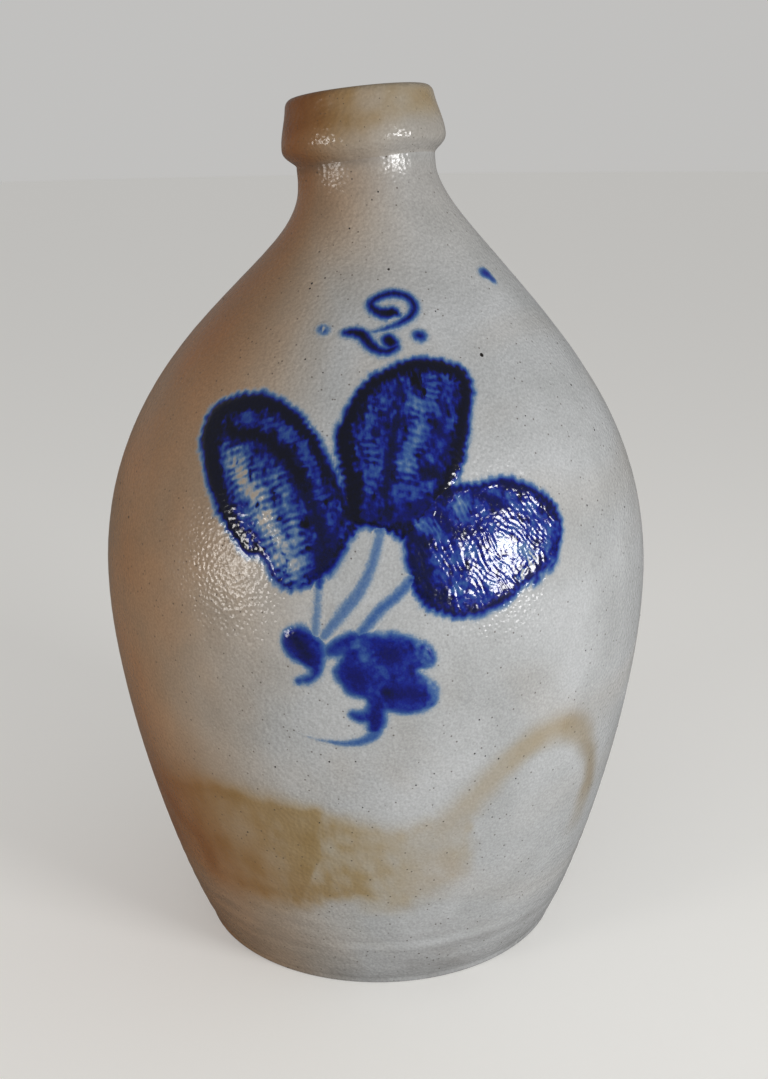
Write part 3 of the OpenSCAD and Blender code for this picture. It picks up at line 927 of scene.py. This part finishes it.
bpy.ops.object.transform_apply(location=False, rotation=True, scale=True)
bpy.ops.object.join()
iron = bpy.context.object
iron.name = iron.data.name = "iron_spots"
bpy.ops.object.transform_apply(location=True, rotation=True, scale=True)
bpy.ops.object.shade_smooth()
print(len(spots), "iron spots")

# %% [markdown]
# ## The hand in it
# A wheel leaves faint rings, the neck of this jug bends and leans a little before the collar, and
# nothing is perfectly round. These are small moves of the finished vertices, the same for every
# piece on the wall, so the slip stays on it.

# %% Bend the neck and add the rings
bend_heights = [0, 245, 262, 274, 284, 292, 298, 304, 310, 316, 322, 329, 340, 370]
bend_shifts = [0, 0.0, 0.5, 1.3, 2.0, 2.6, 2.5, 1.8, 0.8, -0.2, -1.3, -1.9, -1.9, -1.9]
ring_mm = 7.0


def by_hand(obj, rings=True):
    """Bends a piece with the neck and, with rings, gives it the wobble and the rings of the wall."""
    co, azimuth, height = places(obj.data)
    turn = np.radians(azimuth)
    radius = np.hypot(co[:, 0], co[:, 1])
    bend = np.interp(height, bend_heights, bend_shifts)
    # Two slow waves make the wall a little unround, and the rings are deepest near the foot.
    wobble = 0.35 * np.sin(2 * turn + height / 60) + 0.2 * np.sin(3 * turn - height / 35)
    ring = (0.02 + 0.07 * smooth_step(70, 20, height)) * np.sin(
        2 * np.pi * height / ring_mm + turn + 0.8 * np.sin(height / 23))
    grow = (wobble + ring) * smooth_step(0, 12, height) * (1 - smooth_step(290, 318, height))
    share = 1 + (grow / np.maximum(radius, 1) if rings else 0)
    lean = co[:, 0] * math.tan(lean_left) - co[:, 1] * math.tan(lean_back)
    co[:, 2] += (lean * smooth_step(292, 326, height)) if rings else 0
    co[:, 0] = co[:, 0] * share + bend
    co[:, 1] = co[:, 1] * share
    obj.data.vertices.foreach_set("co", (co * MM).ravel())
    obj.data.update()


for piece in [wall, iron, *slip_pieces.values()]:
    by_hand(piece)
by_hand(collar, rings=False)
print("the neck bends", max(bend_shifts), "mm one way and", -min(bend_shifts), "mm the other")

# %% [markdown]
# ## Marks of the kiln, and painted shade
# The flame toasted the left side brown, and melted ash ran down and pooled in an ochre stain on the
# lower left. Towards the left edge the brown is also painted shade. On the right another pot stood
# close, and the flame drew an arch round the place it shaded. These are patches with known places,
# so they are painted per vertex like the slip: one mark is the brown with its painted shade, one the
# ash, and one darkens the foot and the neck, holds the wear of the stains and paints shade and dirt
# into the groove under the collar. Heights on the leaning neck are taken along its own axis, and what
# changes round it is measured from side to side, so that it meets at the back without a seam.

# %% Outlines of the stains: degrees, height, softness of the edge
stain_outline = [
    (-118, 66, 15), (-104, 76, 14), (-88, 83, 12), (-72, 87, 10), (-57, 92, 9), (-48, 97, 8),
    (-41, 100, 7), (-34, 101, 7), (-26, 101, 7), (-20, 100, 7), (-15.5, 99, 6), (-12, 96, 5),
    (-11.3, 86, 3.5), (-12.7, 71, 3), (-14.5, 58, 4), (-17, 46, 8), (-23, 42, 10), (-30, 40, 11),
    (-38, 40, 12), (-46, 41, 12), (-58, 42, 12), (-74, 43, 11), (-90, 47, 13), (-106, 54, 15)]
tan_outline = [
    (-24, 96, 5), (-12, 95, 6), (-4, 92, 6), (2, 89, 6), (8, 91, 5), (14, 95, 5), (18.5, 91, 3),
    (19.5, 82, 3), (21, 71, 4), (19, 60, 5), (13, 51, 6), (5, 45, 6), (-2, 46, 6), (-9, 50, 6),
    (-24, 44, 6)]
arch_line = [
    (12, 84, 5), (16, 92, 5), (20, 100.5, 4.8), (24, 108, 4.6), (27.5, 114.5, 4.6), (32, 119, 4.6),
    (37, 120.5, 4.8), (41.5, 118.5, 4.6), (46, 112, 4.2), (51, 101, 4), (54, 89, 4),
    (54.5, 78, 4.5), (54, 64, 5)]


# %% Paint the flashing, the ash and the grime, and painted shade
def patch(outline, co, azimuth, height):
    """A patch with a soft edge, 0 to 1, and the distance inside it in mm."""
    line = smooth_line(outline, closed=True)
    gap, _, soft = nearest_on(line, co, 40)
    depth = np.where(inside(line, azimuth, height), gap, -gap)
    wander = 1.0 * cloudy(co[:, 0], co[:, 2], 9) + 0.2 * cloudy(co[:, 0], co[:, 2], 3)
    soft = np.maximum(soft, 0.8)
    return smooth_step(-soft, soft, depth + wander), depth


def fade_from(middle, spread, value):
    """1 at the middle and less away from it, for bands and round patches."""
    return np.exp(-((value - middle) / spread) ** 2)


def paint_kiln_marks(obj):
    """Paints the flash and its painted shade, the ochre, and the grime and groove shade on a piece."""
    co, azimuth, height = places(obj.data)
    across = co[:, 0] - 0.7 * co[:, 1]
    sideways = np.degrees(np.arcsin(np.sin(np.radians(azimuth))))
    up_axis = height - co[:, 0] * math.tan(lean_left) + co[:, 1] * math.tan(lean_back)
    # The flame's brown deepens towards the left edge, where it is partly painted shade, is warmest over
    # the pool and is gone behind. On the neck and the collar it comes from the left too, partly as
    # painted shade, and the collar's right has less of it.
    drift = 4 * cloudy(across, height, 80, 1)
    low_side = 6 - 8 * smooth_step(230, 290, height)
    flash_and_shade = (0.78 + 0.22 * smooth_step(232, 268, height)) * smooth_step(low_side, 66, -azimuth + drift)
    flash_and_shade += 0.32 * fade_from(-66, 22, azimuth) * fade_from(76, 40, height)
    flash_and_shade *= 1 - smooth_step(108, 176, -azimuth + drift)
    neck_flash_and_shade = smooth_step(262, 318, up_axis) * (0.82 - 0.76 * smooth_step(-75, 32, sideways))
    neck_flash_and_shade *= 1 - 0.5 * smooth_step(322, 334, up_axis) * smooth_step(-50, -10, sideways)
    flash_and_shade = np.maximum(flash_and_shade + 0.02 * cloudy(across, height, 22), neck_flash_and_shade)
    paint(obj, "flash_and_shade", np.clip(flash_and_shade, 0, 1))

    # The ash: the pool with a darker band inside its edge and an olive corner, and the tan beside it.
    pool, depth = patch(stain_outline, co, azimuth, height)
    contour = 0.05 * fade_from(5, 4, depth)
    runs = 0.02 * cloudy(across + 30, height, 9) + 0.035 * cloudy(across, height, 20)
    olive = 0.10 * fade_from(-18, 5, azimuth) * fade_from(70, 16, height)
    pool = pool * (0.48 + contour + runs + olive)
    tanned, _ = patch(tan_outline, co, azimuth, height)
    patchy = 0.03 * cloudy(across * 1.5, height * 0.7, 10) + 0.03 * cloudy(across, height, 5)
    tanned *= (1 - 0.45 * smooth_step(-10, 16, azimuth)) * (0.47 + patchy)
    # The arch on the right, a thin drift of ash behind, and the ash that settled on the collar.
    gap, _, wide = nearest_on(smooth_line(arch_line), co)
    arch = 0.42 * (1 - smooth_step(0.2 * wide, 2.5 * wide, gap + 0.8 * cloudy(across, height, 12)))
    arch = arch * smooth_step(50, 84, height) * (0.72 + 0.2 * smooth_step(18, 34, azimuth))
    wear_and_groove_shade = 0.3 * tanned + arch * (0.35 + 1.1 * smooth_step(36, 50, azimuth))
    behind = smooth_step(70, 110, np.abs(azimuth)) * smooth_step(30, 70, height)
    back = 0.24 * smooth_step(-0.4, 1.5, cloudy(across + 200, height, 75)) * behind
    rim = smooth_step(322, 346, up_axis) * (0.38 + 0.05 * cloudy(across, height, 7))
    rim += 0.20 * smooth_step(326, 346, up_axis) * smooth_step(10, -50, sideways)
    rim -= 0.16 * smooth_step(346, 336, up_axis) * smooth_step(-10, 30, sideways)
    ochre = np.maximum.reduce([pool, tanned, arch, back, rim])
    paint(obj, "ochre", np.clip(ochre, 0, 1))

    # Darker towards the foot, with bands there, and darker up the neck to the collar; the wear of the
    # stains; and painted shade with some dirt in the groove under the collar.
    bands = 0.12 * cloudy(across * 0.12, height, 4) * (1 - smooth_step(30, 55, height))
    foot_darkening = 0.44 * (1 - smooth_step(4, 46, height + 6 * cloudy(across, height, 22))) + bands
    neck_darkening = 0.30 * smooth_step(296, 324, up_axis + 4 * cloudy(across, height, 20))
    # Painted shade with some dirt: a dark line in the groove under the collar, darkest from left to
    # middle.
    wear_and_groove_shade = wear_and_groove_shade + 0.5 * fade_from(328.5, 2.2, up_axis) * smooth_step(30, -20, sideways)
    paint(obj, "grime_and_shade", np.clip(np.maximum(foot_darkening, neck_darkening) + wear_and_groove_shade, 0, 1))


for piece in [wall, collar, strap, *slip_pieces.values()]:
    paint_kiln_marks(piece)
print("painted:", ", ".join(layer.name for layer in wall.data.attributes if layer.data_type == "FLOAT"))

# %% [markdown]
# ## Salt glaze
# Salt glaze is soda glass that forms on the clay itself, a tenth of a millimetre thick, so we see
# the grey body through it. It is glossy, with an index of refraction of 1.5 and a roughness near
# 0.2, and dimpled every two millimetres like the peel of an orange. Iron makes small dark specks.
# Cobalt is the same glass with blue in it: pale where the slip is thin and nearly black where it is
# thick, and it smooths the dimples a little. The brown of the flame is coloured glass too: glass
# that is twice as thick colours the light twice, so the tint is raised to a power, the thickness.
# Towards the left edge this brown is also painted shade.
# One function builds the glaze for every piece: it reads the painted marks, makes its noise in sizes
# that were measured in millimetres, and lays colour on colour in the order of the real layers.

# %% Colours and sizes of the glaze
cobalt_stops = [
    (0.0, "#a3a5a8"), (0.12, "#8c98a5"), (0.24, "#647d9c"), (0.38, "#395b92"), (0.52, "#244189"),
    (0.66, "#101f80"), (0.74, "#0a1160"), (0.82, "#0a1142"), (0.90, "#090d29"), (1.0, "#070911")]
ash_stops = [(0.0, "#9c9585"), (0.38, "#a08f6c"), (0.6, "#90763f"), (1.0, "#574422")]
# The brown of the flame; towards the left edge it is also painted shade.
flash_and_shade_tint = "#d4925f"
# The colour of the dirt and the specks, and of the painted shade in the groove under the collar.
grime_and_shade_tint = "#4a4038"
peel_mm = 1.7
peel_depth = 0.25
cloud_mm, streak_mm, grain_mm, fine_mm = 34, 15, 0.9, 0.7
print(len(cobalt_stops), "blues,", len(ash_stops), "ash colours and dimples of", peel_mm, "mm")


# %% Build the glaze
def salt_glaze(name, clay_dark, clay_pale, toast, speck_mm):
    """Salt-glazed stoneware. Toast is how brown it is all over, before the painted marks."""
    material, tree, shader = new_finish(name)
    shader.inputs["IOR"].default_value = 1.5
    place = add(tree, "ShaderNodeTexCoord").outputs["Object"]
    mm = add(tree, "ShaderNodeVectorMath", {"operation": "SCALE"},
             {0: place, "Scale": 1 / MM}).outputs[0]
    flash_and_shade, ochre, grime_and_shade, cobalt = (
        add(tree, "ShaderNodeAttribute", {"attribute_name": mark}).outputs["Fac"]
        for mark in ("flash_and_shade", "ochre", "grime_and_shade", "cobalt"))

    # Noise of four sizes, the cells of the peel and the cells of the specks.
    cloud, streak, grain, fine = (
        add(tree, "ShaderNodeTexNoise", None,
            {"Vector": mm, "Scale": 1 / lump_mm, "Detail": detail}).outputs["Fac"]
        for lump_mm, detail in ((cloud_mm, 4.0), (streak_mm, 4.0), (grain_mm, 2.0), (fine_mm, 1.0)))
    peel = add(tree, "ShaderNodeTexVoronoi", {"feature": "SMOOTH_F1"},
               {"Vector": mm, "Scale": 1 / peel_mm, "Smoothness": 0.5}).outputs["Distance"]
    cells = add(tree, "ShaderNodeTexVoronoi", None, {"Vector": mm, "Scale": 1 / speck_mm})

    # The noise is stretched to what each layer needs of it.
    mottle, uneven, drifted, gloss, speck = (
        add(tree, "ShaderNodeMapRange", None,
            {"Value": source, "From Min": low, "From Max": high,
             "To Min": at_low, "To Max": at_high}).outputs[0]
        for source, low, high, at_low, at_high in (
            (grain, 0.35, 0.7, 0.86, 1.05),
            (streak, 0.3, 0.7, 0.85, 1.06),
            (cloud, 0.3, 0.7, 0.84, 1.04),
            (streak, 0.3, 0.7, 0.18, 0.28),
            (cells.outputs["Distance"], 0.06, 0.12, 0.75, 0.0)))

    # How much ash, flame and its painted shade, dirt and the groove's painted shade, and cobalt there
    # is.
    ash = add(tree, "ShaderNodeMath", {"operation": "MULTIPLY", "use_clamp": True},
              {0: ochre, 1: uneven}).outputs[0]
    ash_cover = add(tree, "ShaderNodeMapRange", None,
                    {"Value": ash, "From Max": 0.5, "To Max": 0.88}).outputs[0]
    # The flash mark tints the clay: the brown of the flame, and painted shade towards the left edge.
    flashed_and_shaded = add(tree, "ShaderNodeMath", {"operation": "MULTIPLY_ADD"},
                  {0: flash_and_shade, 1: drifted, 2: toast}).outputs[0]
    flame_and_shade = add(tree, "ShaderNodeGamma", None,
                {"Color": srgb(flash_and_shade_tint), "Gamma": flashed_and_shaded}).outputs[0]
    dark = add(tree, "ShaderNodeMath", {"operation": "MULTIPLY_ADD", "use_clamp": True},
               {0: grime_and_shade, 1: streak, 2: speck}).outputs[0]
    spread = add(tree, "ShaderNodeMath", {"operation": "MULTIPLY_ADD"},
                 {0: fine, 1: 0.14, 2: -0.07}).outputs[0]
    blue_now = add(tree, "ShaderNodeMath", {"operation": "GREATER_THAN"},
                   {0: cobalt, 1: 0.02}).outputs[0]
    amount = add(tree, "ShaderNodeMath", {"operation": "MULTIPLY_ADD", "use_clamp": True},
                 {0: spread, 1: blue_now, 2: cobalt}).outputs[0]
    cover = add(tree, "ShaderNodeMapRange", {"interpolation_type": "SMOOTHSTEP"},
                {"Value": amount, "From Min": 0.02, "From Max": 0.24}).outputs[0]

    # Their colours, and then one layer over the other.
    colours = []
    for source, stops in ((cloud, [(0.34, clay_dark), (0.66, clay_pale)]),
                          (ash, ash_stops), (amount, cobalt_stops)):
        ramp = add(tree, "ShaderNodeValToRGB", None, {"Fac": source})
        elements = ramp.color_ramp.elements
        for i, (position, code) in enumerate(stops):
            stop = elements[i] if i < 2 else elements.new(position)
            stop.position, stop.color = position, srgb(code)
        colours.append(ramp.outputs[0])
    clay, stain, blue = colours
    toned = add(tree, "ShaderNodeVectorMath", {"operation": "SCALE"},
                {0: clay, "Scale": mottle}).outputs[0]
    for blend, share, layer in (
            ("MIX", ash_cover, stain), ("MULTIPLY", 1.0, flame_and_shade),
            ("MIX", dark, srgb(grime_and_shade_tint)), ("MIX", cover, blue)):
        toned = add(tree, "ShaderNodeMix", {"data_type": "RGBA", "blend_type": blend},
                    {"Factor": share, 6: toned, 7: layer}).outputs[2]

    # Cobalt glass is smoother than the bare glaze.
    roughness = add(tree, "ShaderNodeMix", {"data_type": "FLOAT"},
                    {"Factor": cover, 2: gloss, 3: 0.14}).outputs[0]
    dimples = add(tree, "ShaderNodeMath", {"operation": "MULTIPLY_ADD"},
                  {0: grain, 1: 0.35, 2: peel}).outputs[0]
    depth = add(tree, "ShaderNodeMapRange", None,
                {"Value": cover, "To Min": 1.0, "To Max": 0.55}).outputs[0]
    bump = add(tree, "ShaderNodeBump", None,
               {"Height": dimples, "Distance": peel_depth * MM, "Strength": depth}).outputs[0]
    for key, value in {"Base Color": toned, "Roughness": roughness, "Normal": bump}.items():
        tree.links.new(value, shader.inputs[key])
    print(name, "has", len(tree.nodes), "nodes")
    return material


# %% Glaze the pieces
wall_glaze = salt_glaze("salt_glazed_stoneware", "#a8aaab", "#b8babc", toast=0.0, speck_mm=3.9)
collar_glaze = salt_glaze("flashed_and_shaded_collar_glaze", "#a7a7a6", "#b5b5b4", toast=0.02, speck_mm=2.4)
strap_glaze = salt_glaze("strap_salt_glaze", "#a5a4a1", "#b6b5b3", toast=0.04, speck_mm=4.0)
wall.data.materials.append(wall_glaze)
collar.data.materials.append(collar_glaze)
strap.data.materials.append(strap_glaze)
for piece in slip_pieces.values():
    piece.data.materials.append(wall_glaze)

# %% [markdown]
# ## Lining, foot and iron
# Salt vapour hardly reaches the inside, so such jugs were lined with a thin brown slip, which melts
# to a smooth dark glass. The foot stood on the kiln shelf and stayed bare and dull, like a biscuit.
# The iron spots are nearly black glass. Each is one colour that is a little darker in soft lumps, and
# the wall's own faces say where the lining and the bare foot begin.

# %% Finishes without salt glaze
def plain_finish(name, colour, roughness, lump_mm, dark_share):
    """A finish of one colour that is darker in soft lumps."""
    material, tree, shader = new_finish(name)
    shader.inputs["Roughness"].default_value = roughness
    place = add(tree, "ShaderNodeTexCoord").outputs["Object"]
    noise = add(tree, "ShaderNodeTexNoise", None,
                {"Vector": place, "Scale": 1 / (lump_mm * MM), "Detail": 4.0})
    tint = add(tree, "ShaderNodeValToRGB", None, {"Fac": noise.outputs["Fac"]})
    darker = [c * dark_share for c in srgb(colour)[:3]] + [1]
    for stop, position, shade in zip(
            tint.color_ramp.elements, (0.35, 0.65), (darker, srgb(colour))):
        stop.position, stop.color = position, shade
    tree.links.new(tint.outputs[0], shader.inputs["Base Color"])
    return material


wall.data.materials.append(plain_finish("brown_slip_lining", "#5a3a26", 0.22, 18, 0.6))
wall.data.materials.append(plain_finish("unglazed_foot", "#9c8f7d", 0.85, 6, 0.75))
iron.data.materials.append(plain_finish("melted_iron_spot", "#1c1613", 0.30, 2, 0.6))
inner_gap = 4
bare_h = 1.6
centres = np.empty(len(wall.data.polygons) * 3)
wall.data.polygons.foreach_get("center", centres)
centres = centres.reshape(-1, 3) / MM
face_radius, face_h = np.hypot(centres[:, 0], centres[:, 1]), centres[:, 2]
lining = (face_h > inner_gap) & (face_radius < wall_radius(face_h) - inner_gap)
underside = (face_h < bare_h) & (face_radius < foot_r - 1)
finish_of_face = np.where(lining, 1, np.where(underside, 2, 0)).astype(np.int32)
wall.data.polygons.foreach_set("material_index", finish_of_face)
print(int(lining.sum()), "lining faces,", int(underside.sum()), "faces under the foot")

# %% [markdown]
# ## Fitting the pieces to the frame
# Each piece rides on the frame's one body and takes the place of the plain solid that stood for it.
# The numeral, the dots and the blot are too thin for the construction, so they replace nothing.

# %% Ride and replace
replaced = {"thrown_body": wall, "tooled_collar": collar, "strap_handle": strap}
replaced.update({name: piece for name, piece in slip_pieces.items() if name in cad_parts})
for piece in [wall, collar, strap, iron, *slip_pieces.values()]:
    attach(piece, "root")
for name, piece in replaced.items():
    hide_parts(name)
print(len(replaced), "solids of the frame are replaced")
